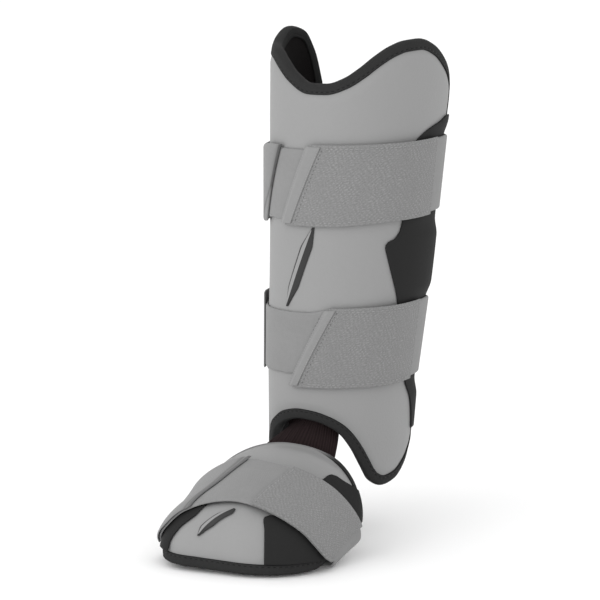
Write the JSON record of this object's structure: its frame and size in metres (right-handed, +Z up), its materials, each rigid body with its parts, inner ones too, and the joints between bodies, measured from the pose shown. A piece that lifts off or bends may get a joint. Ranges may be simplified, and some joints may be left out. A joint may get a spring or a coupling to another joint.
{
  "type": "padded leg guard for shin and foot",
  "caption": "Padded guard for the left leg: a curved shin guard with straps round the calf, and a domed foot guard that hangs from it on a cloth link.",
  "frame": {"origin": "the spot on the shin guard's lining where it rests on the front of the shin, midway between the two straps", "axes": "+Z up along the leg, -Y to the front over the shin and the toes, +X to the outer side of the left leg"},
  "size_m": [0.1441, 0.2482, 0.3679],
  "materials": {
    "padded_leatherette": "smooth matte synthetic leather over foam",
    "dark_lining": "soft knitted lining",
    "edge_tape": "ribbed tape with stitching",
    "dark_panel": "smooth matte synthetic leather",
    "strap_webbing": "fine woven webbing",
    "loop_fabric": "brushed loop fabric with a fine diagonal weave",
    "label_tape": "smooth bare tape",
    "rubber_badge": "satin moulded rubber",
    "link_cloth": "dark stretch cloth"
  },
  "bodies": {
    "root": {"shin_shell": "padded_leatherette", "foot_shell": "padded_leatherette", "shin_lining": "dark_lining", "foot_lining": "dark_lining", "shin_binding": "edge_tape", "foot_binding": "edge_tape", "side_panel": "dark_panel", "foot_outer_panel": "dark_panel", "foot_inner_panel": "dark_panel", "upper_strap": "strap_webbing", "lower_strap": "strap_webbing", "foot_strap": "strap_webbing", "upper_strap_end": "strap_webbing", "lower_strap_end": "strap_webbing", "foot_strap_end": "strap_webbing", "upper_strap_facing": "loop_fabric", "lower_strap_facing": "loop_fabric", "foot_strap_facing": "loop_fabric", "upper_label": "label_tape", "lower_label": "label_tape", "shin_badge": "rubber_badge", "foot_badge": "rubber_badge", "ankle_link": "link_cloth"}
  },
  "joints": []
}
